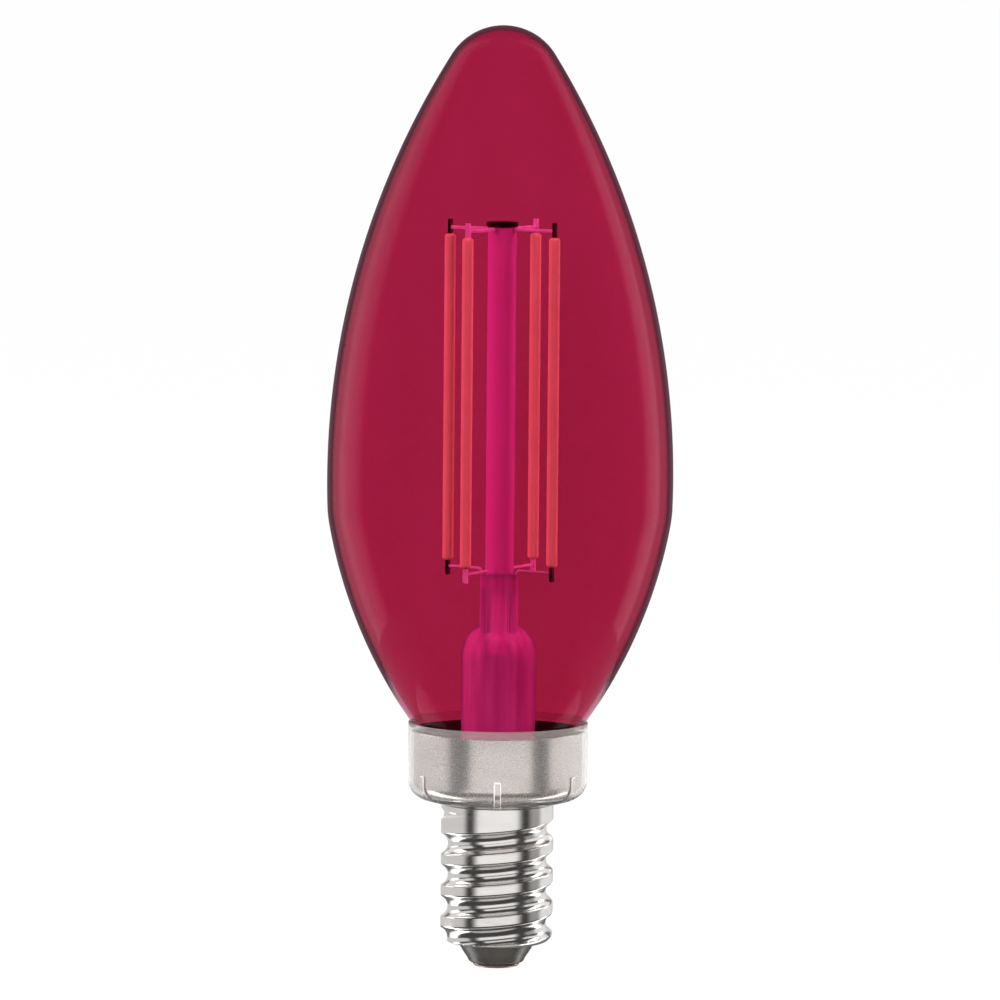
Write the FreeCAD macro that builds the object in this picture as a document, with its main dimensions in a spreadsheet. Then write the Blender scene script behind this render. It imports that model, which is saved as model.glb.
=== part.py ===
import FreeCAD, Part
import math
import os
import re

import Sketcher

# A screw-in candle-shaped LED filament bulb, upright, cap down.
# Millimetres, +Z up along the bulb's axis, -Y is the front.
# The origin is the lowest point of the centre contact, on the axis.

doc = FreeCAD.newDocument("filament_bulb")

SIZES = {
    # glass envelope
    "overall_length": 97.4,
    "nose_radius": 6.25,
    "belly_radius": 17.86,
    "belly_share": 0.3491,
    "shoulder_drop": 2.6,
    "shoulder_radius": 15.0,
    "shoulder_share": 0.239,
    "neck_blend_radius": 3.0,
    "neck_radius": 6.4,
    "neck_bottom": 19.2,
    "glass_wall": 0.9,
    # collar
    "collar_radius": 9.29,
    "collar_top": 25.5,
    "collar_bottom": 17.0,
    "collar_floor_rise": 0.93,
    "collar_corner_radius": 2.0,
    "skin_wall": 0.54,
    "rim_round": 0.135,
    "liner_wall": 0.25,
    "liner_drop": 0.85,
    "mouth_clearance": 0.05,
    "rib_count": 6,
    "rib_width": 0.75,
    "rib_depth": 0.25,
    "rib_top": 20.3,
    "spigot_length": 2.8,
    "spigot_wall": 0.6,
    "spigot_clearance": 0.03,
    "cement_height": 1.8,
    # screw shell and base
    "crest_radius": 5.83,
    "thread_depth": 0.73,
    "groove_radius": 1.106,
    "thread_pitch": 3.27,
    "thread_turns": 4.5,
    "thread_start": 1.3,
    "shell_wall": 0.25,
    "shell_bottom": 2.5,
    "shell_corner_radius": 1.2,
    "insulator_top_radius": 4.07,
    "insulator_tip_radius": 2.95,
    "insulator_tip_height": 0.35,
    "insulator_flange_gap": 0.4,
    "insulator_flange_height": 1.2,
    "contact_radius": 2.4,
    "contact_thickness": 0.35,
    "contact_round": 0.245,
    "rivet_radius": 0.6,
    # glass stem
    "flare_radius": 3.85,
    "flare_wall": 0.8,
    "flare_rim_height": 0.8,
    "flare_height": 23.0,
    "stem_shoulder_height": 32.4,
    "press_rise": 3.2,
    "press_length": 5.4,
    "press_width": 4.0,
    "press_depth": 5.0,
    "press_corner_radius": 1.2,
    "tube_radius": 1.0,
    "tube_bore": 0.6,
    "tube_offset": 0.4,
    "tube_bottom": 19.8,
    "rod_radius": 1.5,
    "rod_drop": 20.7,
    "rod_seat": 0.5,
    "button_radius": 1.65,
    "button_thickness": 0.5,
    # filaments and their wires
    "filament_circle": 6.4,
    "filament_radius": 0.575,
    "filament_rise": 0.9,
    "filament_drop": 0.9,
    "filament_end_round": 0.35,
    "first_filament_angle": 57.0,
    "pin_width": 0.5,
    "pin_thickness": 0.3,
    "pin_length": 1.5,
    "top_arm_radius": 0.2,
    "bottom_arm_radius": 0.15,
    "arm_clearance": 0.05,
    "arm_rise": 0.3,
    "arm_bend_radius": 0.4,
    "tail_circle": 2.15,
    "tail_length": 1.8,
    "lead_radius": 0.2,
    "lead_offset": 0.65,
    "weld_radius": 0.38,
    "weld_height": 27.2,
    "link_thickness": 0.15,
    "link_width": 0.3,
    "jog_height": 1.6,
    "pad_length": 1.8,
    "pad_spacing": 2.2,
    # driver
    "board_width": 8.0,
    "board_thickness": 0.8,
    "board_bottom": 5.6,
    "board_top": 17.2,
    "capacitor_radius": 1.75,
    "capacitor_length": 6.5,
    "rectifier_width": 4.7,
    "rectifier_length": 3.9,
    "chip_width": 4.4,
    "chip_length": 3.0,
    "package_thickness": 1.5,
    "part_spacing": 0.4,
    "resistor_radius": 0.8,
    "resistor_length": 4.0,
    "shell_lead_drop": 0.7,
    "solder_gap": 0.02,
}


def make_sheet():
    sheet = doc.addObject("Spreadsheet::Sheet", "Sizes")
    for row, (name, value) in enumerate(SIZES.items(), start=1):
        sheet.set(f"A{row}", name)
        sheet.set(f"B{row}", str(value))
        sheet.setAlias(f"B{row}", name)
    doc.recompute()
    return sheet


SHEET = make_sheet()
FILAMENTS = range(1, 5)
BELLY_HEIGHT = "(collar_top + belly_share * (overall_length - collar_top))"
MOUTH_RADIUS = "(collar_radius - skin_wall - liner_wall - mouth_clearance)"
MOUTH_HEIGHT = "(collar_top - liner_drop)"
SHOULDER_LENGTH = f"(shoulder_share * (belly_radius - {MOUTH_RADIUS}))"
GROOVE_CENTRE = "crest_radius - thread_depth + groove_radius"
SHELL_LEAD_HEIGHT = "collar_bottom - shell_lead_drop"
PRESS_BOTTOM = "(stem_shoulder_height + press_rise)"
PRESS_TOP = f"({PRESS_BOTTOM} + press_length)"
ROD_TOP = "(overall_length - rod_drop)"
FILAMENT_BOTTOM = f"({PRESS_TOP} + filament_rise)"
FILAMENT_TOP = f"({ROD_TOP} - filament_drop)"
BOTTOM_ARM_HEIGHT = f"{PRESS_TOP} + arm_rise"
LINK_TOP = f"({PRESS_TOP} - tail_length)"
LYING = "90"
NEAR = 0.01


def formula(text):
    """The text with every size name pointed at its cell in the sheet."""
    names = re.compile(r"\b(" + "|".join(SIZES) + r")\b")
    return names.sub(r"Sizes.\1", text)


def value(text):
    """The present value of a formula."""
    return float(SHEET.evalExpression(formula(text)))


def bind(thing, **formulas):
    for name, text in formulas.items():
        thing.setExpression(name, formula(text))


def place(thing, along_x="0", along_y="0", along_z="0", yaw="0", pitch="0"):
    """Bind a piece's place and its turn about Z, after a tilt about Y."""
    spot = f"vector({along_x}; {along_y}; {along_z})"
    thing.setExpression("Placement", formula(f"placement({spot}; rotation({yaw}; {pitch}; 0))"))


def new_body(name):
    body = doc.addObject("PartDesign::Body", name)
    body.Label = name
    return body


def new_sketch(body, name, role="XZ_Plane"):
    """A sketch on one of the body's own origin planes."""
    sketch = body.newObject("Sketcher::SketchObject", name)
    plane = [feature for feature in body.Origin.OriginFeatures if feature.Role == role][0]
    sketch.AttachmentSupport = [(plane, "")]
    sketch.MapMode = "FlatFace"
    return sketch


def dimension(sketch, kind, *where, text):
    """Add a dimension to a sketch and bind it to a formula, which gives an angle in degrees."""
    amount = math.radians(value(text)) if kind == "Angle" else value(text)
    number = sketch.addConstraint(Sketcher.Constraint(kind, *where, amount))
    sketch.setExpression(f"Constraints[{number}]", formula(text))


def relate(sketch, kind, *where):
    sketch.addConstraint(Sketcher.Constraint(kind, *where))


def travelled(sketch, edge, start):
    """The edge with its two ends in the order in which it is followed from its start."""
    ahead, behind = (sketch.getPoint(edge, end).distanceToPoint(start) for end in (1, 2))
    return (edge, 1, 2) if ahead < behind else (edge, 2, 1)


def pin_point(sketch, edge, end, across, up):
    """Fix a sketch point by its two distances from the origin."""
    dimension(sketch, "DistanceX", -1, 1, edge, end, text=across)
    dimension(sketch, "DistanceY", -1, 1, edge, end, text=up)


def draw_outline(sketch, corners, closed=True):
    """Straight sides through the corners, each given as two formulas. A third entry is the radius of the
    arc to the next corner, which bulges to the right of the way there, or to the left if it is negative."""
    spots = [FreeCAD.Vector(value(corner[0]), value(corner[1]), 0) for corner in corners]
    sides = len(corners) if closed else len(corners) - 1
    ends = []
    for side in range(sides):
        start, finish = spots[side], spots[(side + 1) % len(spots)]
        if len(corners[side]) == 3:
            half = (finish - start) * 0.5
            radius = value(corners[side][2])
            sag = abs(radius) - math.sqrt(radius**2 - half.Length**2)
            outward = FreeCAD.Vector(half.y, -half.x, 0).normalize() * math.copysign(sag, radius)
            edge = sketch.addGeometry(Part.ArcOfCircle(start, start + half + outward, finish))
            dimension(sketch, "Radius", edge, text=f"abs({corners[side][2]})")
        else:
            edge = sketch.addGeometry(Part.LineSegment(start, finish))
        ends.append(travelled(sketch, edge, start))
    for side, (edge, first, last) in enumerate(ends):
        pin_point(sketch, edge, first, corners[side][0], corners[side][1])
        if closed or side + 1 < sides:
            following = ends[(side + 1) % sides]
            relate(sketch, "Coincident", edge, last, following[0], following[1])
        else:
            pin_point(sketch, edge, last, corners[side + 1][0], corners[side + 1][1])


def turn_profile(body, sketch, name):
    turn = body.newObject("PartDesign::Revolution", name)
    turn.Profile = sketch
    turn.ReferenceAxis = (sketch, ["V_Axis"])
    turn.Angle = 360
    doc.recompute()


def turned(name, corners):
    """A body of revolution about Z from its outline as radius and height."""
    body = new_body(name)
    sketch = new_sketch(body, f"{name}_outline")
    draw_outline(sketch, corners)
    turn_profile(body, sketch, f"{name}_turn")
    return body


def round_circles(body, radius, *circles):
    """Round the circular edges of a turned body that lie at the given radius and height."""
    base = body.Tip
    names = []
    for number, edge in enumerate(base.Shape.Edges, start=1):
        middle, across = edge.BoundBox.Center, edge.BoundBox.XLength / 2
        for circle_radius, height in circles:
            near = abs(across - value(circle_radius)) < NEAR and abs(middle.z - value(height)) < NEAR
            if near and edge.isClosed() and edge.BoundBox.ZLength < NEAR:
                names.append(f"Edge{number}")
    fillet = body.newObject("PartDesign::Fillet", f"{body.Name}_round_{len(body.Group)}")
    fillet.Base = (base, names)
    bind(fillet, Radius=radius)
    doc.recompute()


def boolean(kind, name, base, tool):
    result = doc.addObject(f"Part::{kind}", name)
    result.Label = name
    result.Base = base
    result.Tool = tool
    doc.recompute()
    return result


def gathered(name, pieces):
    result = doc.addObject("Part::MultiFuse", name)
    result.Shapes = pieces
    doc.recompute()
    return result


def cylinder(name, radius, length, **spot):
    piece = doc.addObject("Part::Cylinder", name)
    piece.Label = name
    bind(piece, Radius=radius, Height=length)
    place(piece, **spot)
    doc.recompute()
    return piece


def box(name, along_x, along_y, along_z, middle_x="0", middle_y="0", bottom="0", yaw="0"):
    """A block given by its lengths, the middle of its plan and its underside."""
    piece = doc.addObject("Part::Box", name)
    piece.Label = name
    bind(piece, Length=along_x, Width=along_y, Height=along_z)
    turn = f"({yaw}) * 1deg"
    corner_x = f"{middle_x} - ({along_x}) / 2 * cos({turn}) + ({along_y}) / 2 * sin({turn})"
    corner_y = f"{middle_y} - ({along_x}) / 2 * sin({turn}) - ({along_y}) / 2 * cos({turn})"
    place(piece, corner_x, corner_y, bottom, yaw)
    doc.recompute()
    return piece


def toward(angle):
    """The direction that lies an angle below level."""
    return FreeCAD.Vector(math.cos(angle), -math.sin(angle), 0)


def glass_lines():
    """The glass's outer line from the nose down, as arcs (centre, radius, first angle, last angle) and the
    neck's lower end. The angles are measured downward from level. The side, the shoulder and the taper follow
    from the belly, the nose and the mouth, where the taper meets the collar."""
    nose = value("nose_radius")
    belly = FreeCAD.Vector(value("belly_radius"), value(BELLY_HEIGHT), 0)
    nose_centre = FreeCAD.Vector(0, value("overall_length") - nose, 0)
    rise = nose_centre.y - belly.y
    side = (belly.x**2 + rise**2 - nose**2) / (2 * (belly.x - nose))
    side_centre = belly - FreeCAD.Vector(side, 0, 0)
    at_nose = -math.atan2(rise, side - belly.x)
    at_shoulder = math.asin(value("shoulder_drop") / side)
    shoulder = value("shoulder_radius")
    shoulder_centre = side_centre + toward(at_shoulder) * (side - shoulder)
    at_taper = math.asin(math.sin(at_shoulder) + value(SHOULDER_LENGTH) / shoulder)
    taper_start = shoulder_centre + toward(at_taper) * shoulder
    mouth = FreeCAD.Vector(value(MOUTH_RADIUS), value(MOUTH_HEIGHT), 0)
    chord = taper_start - mouth
    lean = math.atan2(chord.x, chord.y)
    taper = chord.Length / (2 * math.sin(lean - at_taper))
    at_mouth = 2 * lean - at_taper
    taper_centre = taper_start - toward(at_taper) * taper
    blend = value("neck_blend_radius")
    across = mouth.x - value("neck_radius") - blend * (1 - math.cos(at_mouth))
    blend_start = mouth - FreeCAD.Vector(across, across / math.tan(at_mouth), 0)
    blend_centre = blend_start + toward(at_mouth) * blend
    return [
        (nose_centre, nose, -math.pi / 2, at_nose),
        (side_centre, side, at_nose, at_shoulder),
        (shoulder_centre, shoulder, at_shoulder, at_taper),
        (taper_centre, taper, at_taper, at_mouth),
        (blend_centre, -blend, at_mouth, 0),
    ]


def draw_glass_line(sketch, depth):
    """Draw the glass's line a depth inside its outer face, each edge running into the next without a corner.
    Gives the edges from the nose down: nose, side, shoulder, taper, mouth line, neck blend and neck."""
    edges = []
    lower_end = None
    for centre, radius, first, last in glass_lines():
        reach = radius - depth
        halfway = (first + last) / 2
        start, middle, finish = (centre + toward(angle) * reach for angle in (first, halfway, last))
        if radius < 0:
            edges.append((sketch.addGeometry(Part.LineSegment(lower_end, start)), 1, 2))
        edge = sketch.addGeometry(Part.ArcOfCircle(start, middle, finish))
        edges.append(travelled(sketch, edge, start))
        lower_end = finish
    bottom = FreeCAD.Vector(lower_end.x, value("neck_bottom"), 0)
    edges.append((sketch.addGeometry(Part.LineSegment(lower_end, bottom)), 1, 2))
    for (upper, _, upper_end), (lower, lower_start, _) in zip(edges, edges[1:]):
        relate(sketch, "Tangent", upper, upper_end, lower, lower_start)
    relate(sketch, "Vertical", edges[-1][0])
    relate(sketch, "PointOnObject", edges[0][0], edges[0][1], -2)
    return edges


def draw_glass_outside(sketch):
    """The outer line, held by the glass's sizes."""
    edges = draw_glass_line(sketch, 0)
    (nose, nose_top, _), (side, _, side_end), (shoulder, _, shoulder_end), taper, _, blend, neck = edges
    widest = FreeCAD.Vector(value("belly_radius"), value(BELLY_HEIGHT), 0)
    widest_point = sketch.addGeometry(Part.Point(widest), True)
    relate(sketch, "PointOnObject", nose, 3, -2)
    relate(sketch, "PointOnObject", widest_point, 1, side)
    pin_point(sketch, widest_point, 1, "belly_radius", BELLY_HEIGHT)
    dimension(sketch, "DistanceY", -1, 1, nose, nose_top, text="overall_length")
    dimension(sketch, "Radius", nose, text="nose_radius")
    dimension(sketch, "DistanceY", -1, 1, side, 3, text=BELLY_HEIGHT)
    dimension(sketch, "DistanceY", -1, 1, side, side_end, text=f"{BELLY_HEIGHT} - shoulder_drop")
    dimension(sketch, "Radius", shoulder, text="shoulder_radius")
    shoulder_foot = f"{BELLY_HEIGHT} - shoulder_drop - {SHOULDER_LENGTH}"
    dimension(sketch, "DistanceY", -1, 1, shoulder, shoulder_end, text=shoulder_foot)
    pin_point(sketch, taper[0], taper[2], MOUTH_RADIUS, MOUTH_HEIGHT)
    dimension(sketch, "Radius", blend[0], text="neck_blend_radius")
    pin_point(sketch, neck[0], neck[2], "neck_radius", "neck_bottom")
    return edges


def draw_glass_inside(sketch, outside):
    """The inner line, round the same centres as the outer one and a wall's thickness inside it."""
    edges = draw_glass_line(sketch, value("glass_wall"))
    for (edge, _, _), (outer_edge, _, _) in zip(edges, outside):
        if isinstance(sketch.Geometry[edge], Part.ArcOfCircle):
            relate(sketch, "Coincident", edge, 3, outer_edge, 3)
    (nose, nose_top, _), (neck, _, foot) = edges[0], edges[-1]
    dimension(sketch, "DistanceY", -1, 1, nose, nose_top, text="overall_length - glass_wall")
    pin_point(sketch, neck, foot, "neck_radius - glass_wall", "neck_bottom")
    return edges


def close_sketch(sketch, *spots):
    """Straight sides from point to point, each given as its edge and end."""
    for (edge, end), (next_edge, next_end) in zip(spots, spots[1:]):
        side = Part.LineSegment(sketch.getPoint(edge, end), sketch.getPoint(next_edge, next_end))
        line = sketch.addGeometry(side)
        relate(sketch, "Coincident", line, 1, edge, end)
        relate(sketch, "Coincident", line, 2, next_edge, next_end)


def make_envelope():
    """The blown glass: one thin wall, open only where the stem is sealed in. The solid form of its outside
    cuts the seats in the collar and the cement."""
    wall = new_body("glass_envelope")
    profile = new_sketch(wall, "glass_profile")
    outside = draw_glass_outside(profile)
    inside = draw_glass_inside(profile, outside)
    (outer_nose, outer_top, _), (outer_neck, _, outer_foot) = outside[0], outside[-1]
    (inner_nose, inner_top, _), (inner_neck, _, inner_foot) = inside[0], inside[-1]
    close_sketch(profile, (outer_neck, outer_foot), (inner_neck, inner_foot))
    close_sketch(profile, (outer_nose, outer_top), (inner_nose, inner_top))
    turn_profile(wall, profile, "glass_turn")

    form = new_body("glass_outside")
    solid = new_sketch(form, "glass_outside_profile")
    line = draw_glass_outside(solid)
    foot = solid.addGeometry(Part.Point(FreeCAD.Vector(0, value("neck_bottom"), 0)), True)
    pin_point(solid, foot, 1, "0", "neck_bottom")
    close_sketch(solid, (line[-1][0], line[-1][2]), (foot, 1), (line[0][0], line[0][1]))
    turn_profile(form, solid, "glass_outside_turn")


def make_collar():
    """A clear skin over a satin liner. The skin's rim is bevelled to seat the glass. The liner's spigot goes
    down into the screw shell, and its ribs key into grooves inside the skin."""
    skin_inner = "collar_radius - skin_wall"
    liner_inner = f"{skin_inner} - liner_wall"
    floor_slope = "collar_floor_rise / (collar_radius - crest_radius)"
    spigot_outer = "crest_radius - thread_depth - shell_wall - spigot_clearance"
    spigot_inner = f"{spigot_outer} - spigot_wall"

    def floor_at(radius, lift):
        return f"collar_bottom + {lift} + ({radius} - crest_radius) * {floor_slope}"

    skin = turned("skin_form", [
        (spigot_outer, "collar_bottom"),
        ("crest_radius", "collar_bottom"),
        ("collar_radius", floor_at("collar_radius", "0")),
        ("collar_radius", "collar_top"),
        (skin_inner, "collar_top"),
        (skin_inner, floor_at(skin_inner, "skin_wall")),
        ("crest_radius", "collar_bottom + skin_wall"),
        (spigot_outer, "collar_bottom + skin_wall"),
    ])
    round_circles(skin, "collar_corner_radius", ("collar_radius", floor_at("collar_radius", "0")))
    round_circles(skin, "collar_corner_radius - skin_wall", (skin_inner, floor_at(skin_inner, "skin_wall")))
    rim = [("collar_radius", "collar_top"), (skin_inner, "collar_top")]
    round_circles(skin, "rim_round", *rim)

    liner_top = "collar_top - liner_drop"
    liner_lift = "skin_wall + liner_wall"
    liner = turned("liner_form", [
        (spigot_inner, "collar_bottom - spigot_length"),
        (spigot_outer, "collar_bottom - spigot_length"),
        (spigot_outer, "collar_bottom + skin_wall"),
        ("crest_radius", "collar_bottom + skin_wall"),
        (skin_inner, floor_at(skin_inner, "skin_wall")),
        (skin_inner, liner_top),
        (liner_inner, liner_top),
        (liner_inner, floor_at(liner_inner, liner_lift)),
        ("crest_radius", f"collar_bottom + {liner_lift}"),
        (spigot_inner, f"collar_bottom + {liner_lift}"),
    ])
    round_circles(liner, "collar_corner_radius - skin_wall", (skin_inner, floor_at(skin_inner, "skin_wall")))
    inner_round = "collar_corner_radius - skin_wall - liner_wall"
    round_circles(liner, inner_round, (liner_inner, floor_at(liner_inner, liner_lift)))

    rib_inner = "(crest_radius + rib_depth)"
    rib_outer = f"({skin_inner} + rib_depth)"
    rib_lift = "(skin_wall - rib_depth)"
    ribs = turned("rib_layer", [
        (rib_inner, floor_at(rib_inner, rib_lift)),
        (rib_outer, floor_at(rib_outer, rib_lift)),
        (rib_outer, "rib_top"),
        (skin_inner, "rib_top"),
        (skin_inner, floor_at(skin_inner, "skin_wall")),
        (rib_inner, floor_at(rib_inner, "skin_wall")),
    ])
    round_circles(ribs, f"collar_corner_radius - {rib_lift}", (rib_outer, floor_at(rib_outer, rib_lift)))
    round_circles(ribs, "collar_corner_radius - skin_wall", (skin_inner, floor_at(skin_inner, "skin_wall")))
    slabs = []
    for number in range(int(value("rib_count"))):
        angle = f"({number} * 360 / rib_count)"
        slabs.append(box(
            f"rib_slab_{number + 1}", "rib_width", "collar_radius", "rib_top - collar_bottom",
            f"collar_radius / 2 * sin({angle} * 1deg)", f"-collar_radius / 2 * cos({angle} * 1deg)",
            "collar_bottom", angle,
        ))
    keys = boolean("Common", "rib_keys", ribs, gathered("rib_slabs", slabs))
    boolean("Cut", "collar_skin", boolean("Cut", "keyed_skin", skin, keys), doc.getObject("glass_outside"))
    ribbed = boolean("Fuse", "ribbed_liner", liner, keys)
    wire_hole = cylinder("shell_lead_hole", "lead_radius", "crest_radius",
                         along_z=SHELL_LEAD_HEIGHT, pitch=LYING)
    boolean("Cut", "collar_liner", ribbed, wire_hole)

    cement = turned("cement_form", [
        ("neck_radius - glass_wall", "neck_bottom"),
        (liner_inner, "neck_bottom"),
        (liner_inner, "neck_bottom + cement_height"),
        ("neck_radius - glass_wall", "neck_bottom + cement_height"),
    ])
    boolean("Cut", "neck_cement", cement, doc.getObject("glass_outside"))


def draw_ring(sketch, radius, across, up):
    """A circle whose middle and radius are formulas."""
    middle = FreeCAD.Vector(value(across), value(up), 0)
    ring = sketch.addGeometry(Part.Circle(middle, FreeCAD.Vector(0, 0, 1), value(radius)))
    dimension(sketch, "Radius", ring, text=radius)
    pin_point(sketch, ring, 3, across, up)


def helical_groove(body, inset):
    """Cut the right-hand round groove into a turned body. In the hollow it is larger by the sheet's
    thickness all round, and runs on past the outer groove's end by the same thickness."""
    sketch = new_sketch(body, f"{body.Name}_groove")
    draw_ring(sketch, f"groove_radius + {inset}", GROOVE_CENTRE, "thread_start")
    groove = body.newObject("PartDesign::SubtractiveHelix", f"{body.Name}_helix")
    groove.Profile = sketch
    groove.ReferenceAxis = (sketch, ["V_Axis"])
    groove.Mode = "pitch-height-angle"
    overrun = f"{inset} / (2 * pi * (crest_radius - thread_depth))"
    bind(groove, Pitch="thread_pitch", Height=f"thread_pitch * (thread_turns + {overrun})")
    doc.recompute()


def shell_form(name, inset, opening):
    """The screw shell's outer form, or the hollow inside its sheet with the opening in the rolled-in lip."""
    radius = f"crest_radius - {inset}"
    floor = f"shell_bottom + {inset}"
    body = turned(name, opening + [(radius, floor), (radius, "collar_bottom"), ("0", "collar_bottom")])
    round_circles(body, f"shell_corner_radius - {inset}", (radius, floor))
    helical_groove(body, inset)
    return body


def make_base():
    """The rolled-thread shell, the dark insulator below it and the contact riveted through the tip."""
    lip = [
        ("0", "shell_bottom"),
        ("insulator_top_radius", "shell_bottom"),
        ("insulator_top_radius", "shell_bottom + shell_wall"),
    ]
    outside = shell_form("shell_outside", "0", lip[:1])
    boolean("Cut", "screw_shell", outside, shell_form("shell_hollow", "shell_wall", lip))
    flange = "crest_radius - thread_depth - shell_wall - insulator_flange_gap"
    inside = "shell_bottom + shell_wall"
    insulator = turned("base_insulator", [
        ("rivet_radius", "contact_thickness"),
        ("contact_radius", "contact_thickness"),
        ("insulator_tip_radius", "contact_thickness + insulator_tip_height"),
        ("insulator_top_radius", "shell_bottom"),
        ("insulator_top_radius", inside),
        (flange, inside),
        (flange, f"{inside} + insulator_flange_height"),
        ("rivet_radius", f"{inside} + insulator_flange_height"),
    ])
    tip_edge = ("insulator_tip_radius", "contact_thickness + insulator_tip_height")
    round_circles(insulator, "insulator_tip_height", tip_edge)
    contact = turned("centre_contact", [
        ("0", "0"),
        ("contact_radius", "0"),
        ("contact_radius", "contact_thickness"),
        ("rivet_radius", "contact_thickness"),
        ("rivet_radius", f"{inside} + insulator_flange_height"),
        ("0", f"{inside} + insulator_flange_height"),
    ])
    round_circles(contact, "contact_round", ("contact_radius", "0"))


def bent_wire(name, radius, route, **spot):
    """A round wire whose middle line starts upright and follows a route in its own upright plane."""
    body = new_body(name)
    path = new_sketch(body, f"{name}_path")
    draw_outline(path, route, closed=False)
    section = new_sketch(body, f"{name}_section", "XY_Plane")
    draw_ring(section, radius, route[0][0], "0")
    bind(section, **{"AttachmentOffset.Base.z": route[0][1]})
    pipe = body.newObject("PartDesign::AdditivePipe", f"{name}_pipe")
    pipe.Profile = section
    pipe.Spine = (path, [])
    pipe.Transition = "Right corner"
    place(body, **spot)
    doc.recompute()
    return body


def make_stem():
    """The glass stem: a flared tube pressed shut round the wires, with the exhaust tube inside it and the
    rod that carries the filaments standing on it."""
    neck_inner = "neck_radius - glass_wall"
    half_press = "press_width / 2"
    bore = "flare_radius - flare_wall"
    inward = f"(flare_radius - {half_press})"
    crown_radius = f"({inward}^2 + press_rise^2) / (2 * {inward})"
    flare = turned("flare_form", [
        (neck_inner, "neck_bottom"),
        (neck_inner, "neck_bottom + flare_rim_height"),
        ("flare_radius", "flare_height"),
        ("flare_radius", "stem_shoulder_height", crown_radius),
        (half_press, PRESS_BOTTOM),
        ("0", PRESS_BOTTOM),
        ("0", "stem_shoulder_height"),
        (bore, "stem_shoulder_height - flare_wall"),
        (bore, "flare_height"),
        (f"{neck_inner} - flare_wall", "neck_bottom"),
    ])
    round_circles(flare, "flare_wall", ("flare_radius", "flare_height"))
    press_height = "(press_rise + press_length)"
    press = box("press_block", "press_width", "press_depth", press_height, bottom="stem_shoulder_height")
    rounded = doc.addObject("Part::Fillet", "press_form")
    rounded.Base = press
    radius = value("press_corner_radius")
    upright = [number for number, edge in enumerate(press.Shape.Edges, start=1)
               if edge.BoundBox.ZLength > value(press_height) / 2]
    rounded.Edges = [(number, radius, radius) for number in upright]
    doc.recompute()
    glass = boolean("Fuse", "stem_glass", flare, rounded)

    rod_bottom = f"({PRESS_TOP} - rod_seat)"
    rod = cylinder("support_rod", "rod_radius", f"{ROD_TOP} - {rod_bottom}", along_z=rod_bottom)
    cylinder("rod_button", "button_radius", "button_thickness", along_z=ROD_TOP)
    tube_top = "stem_shoulder_height - flare_wall"
    tube = turned("exhaust_form", [
        ("0", "tube_bottom"),
        ("tube_radius", "tube_bottom + tube_radius"),
        ("tube_radius", PRESS_BOTTOM),
        ("tube_bore", PRESS_BOTTOM),
        ("tube_bore", "tube_bottom + tube_radius"),
        ("0", "tube_bottom + tube_radius - tube_bore"),
    ])
    place(tube, along_x="-tube_offset")
    reach = turned("flare_hollow", [
        ("0", "neck_bottom"),
        (f"{neck_inner} - flare_wall", "neck_bottom"),
        (bore, "flare_height"),
        (bore, tube_top),
        ("0", "stem_shoulder_height"),
    ])
    boolean("Common", "exhaust_tube", tube, reach)
    return glass, rod


def make_filaments():
    """Four coated strips on a circle round the rod, each between two flat end pins. The top arms reach out
    from under the rod's button, and the bottom arms turn down into the press."""
    arm_end = "filament_circle - pin_thickness / 2"
    for number in FILAMENTS:
        angle = f"(first_filament_angle + {number - 1} * 360 / {len(FILAMENTS)})"
        spot_x = f"filament_circle * cos({angle} * 1deg)"
        spot_y = f"filament_circle * sin({angle} * 1deg)"
        filament = turned(f"filament_{number}", [
            ("0", FILAMENT_BOTTOM),
            ("filament_radius", FILAMENT_BOTTOM),
            ("filament_radius", FILAMENT_TOP),
            ("0", FILAMENT_TOP),
        ])
        ends = [("filament_radius", FILAMENT_BOTTOM), ("filament_radius", FILAMENT_TOP)]
        round_circles(filament, "filament_end_round", *ends)
        place(filament, spot_x, spot_y)
        pin = ["pin_thickness", "pin_width", "pin_length", spot_x, spot_y]
        box(f"top_pin_{number}", *pin, FILAMENT_TOP, angle)
        box(f"bottom_pin_{number}", *pin, f"{FILAMENT_BOTTOM} - pin_length", angle)
        cylinder(
            f"top_arm_{number}", "top_arm_radius", f"{arm_end} - rod_radius",
            along_x=f"rod_radius * cos({angle} * 1deg)", along_y=f"rod_radius * sin({angle} * 1deg)",
            along_z=f"{ROD_TOP} - top_arm_radius - arm_clearance", yaw=angle, pitch=LYING,
        )
        bent_wire(f"bottom_arm_{number}", "bottom_arm_radius", [
            ("tail_circle", LINK_TOP),
            ("tail_circle", f"{BOTTOM_ARM_HEIGHT} - arm_bend_radius", "-arm_bend_radius"),
            ("tail_circle + arm_bend_radius", BOTTOM_ARM_HEIGHT),
            (arm_end, BOTTOM_ARM_HEIGHT),
        ], yaw=angle)


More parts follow.
